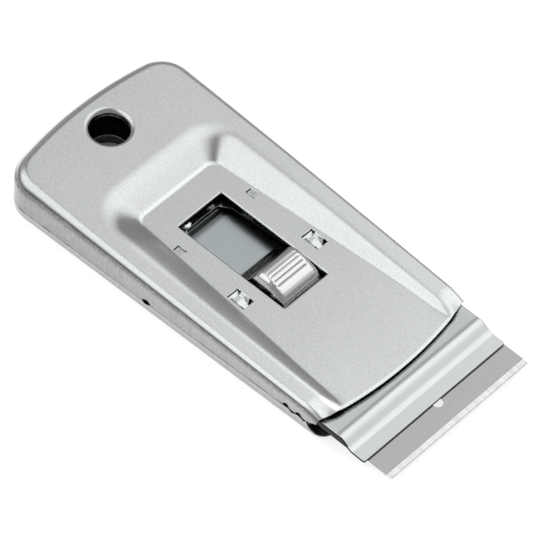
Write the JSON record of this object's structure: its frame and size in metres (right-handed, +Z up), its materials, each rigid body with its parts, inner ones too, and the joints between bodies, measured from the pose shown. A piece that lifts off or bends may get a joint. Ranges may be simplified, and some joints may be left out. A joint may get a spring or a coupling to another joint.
{
  "type": "ceramic_hob_scraper",
  "caption": "All-metal pocket scraper for ceramic hobs, with a wedge-shaped pressed steel body, a hang hole and a thumb button that slides the blade in and out.",
  "frame": {"origin": "On the hang hole's axis, in the plane that the base rests on.", "axes": "+X runs from the hang hole to the cutting edge, +Z is up through the thumb button, and +Y is to the left seen from the rear."},
  "size_m": [0.105, 0.0468, 0.0103],
  "materials": {
    "shell_steel": "fine satin, pressed sheet",
    "slide_steel": "satin, slightly bluish",
    "spring_steel": "satin spring steel",
    "blade_steel": "ground steel with a bright cutting edge",
    "rivet_steel": "plain bright rivet heads",
    "button_steel": "satin with bright ribs"
  },
  "bodies": {
    "housing": {"top_cover": "shell_steel", "base_plate": "shell_steel"},
    "slider": {"blade_carrier": "slide_steel", "scraper_blade": "blade_steel", "clamp_rivets": "rivet_steel", "lever_rivets": "rivet_steel"},
    "lever": {"lock_lever": "spring_steel", "thumb_button": "button_steel"},
    "clamp": {"clamp_plate": "spring_steel", "blade_studs": "rivet_steel"}
  },
  "joints": [
    {"name": "blade_slide", "type": "slide", "parent": "housing", "child": "slider", "axis": [-1, 0, 0], "range_m": [0, 0.0184]},
    {"name": "button_press", "type": "hinge", "parent": "slider", "child": "lever", "pos_m": [0.023, 0, 0.0032], "axis": [0, 1, 0], "range_deg": [0, 1.6], "stiffness_Nm_per_rad": 1, "springref_deg": -1.72},
    {"name": "clamp_flex", "type": "hinge", "parent": "slider", "child": "clamp", "pos_m": [0.0663, 0, 0.0032], "axis": [0, 1, 0], "range_deg": [0, 1.2], "stiffness_Nm_per_rad": 2, "springref_deg": -1.15}
  ]
}
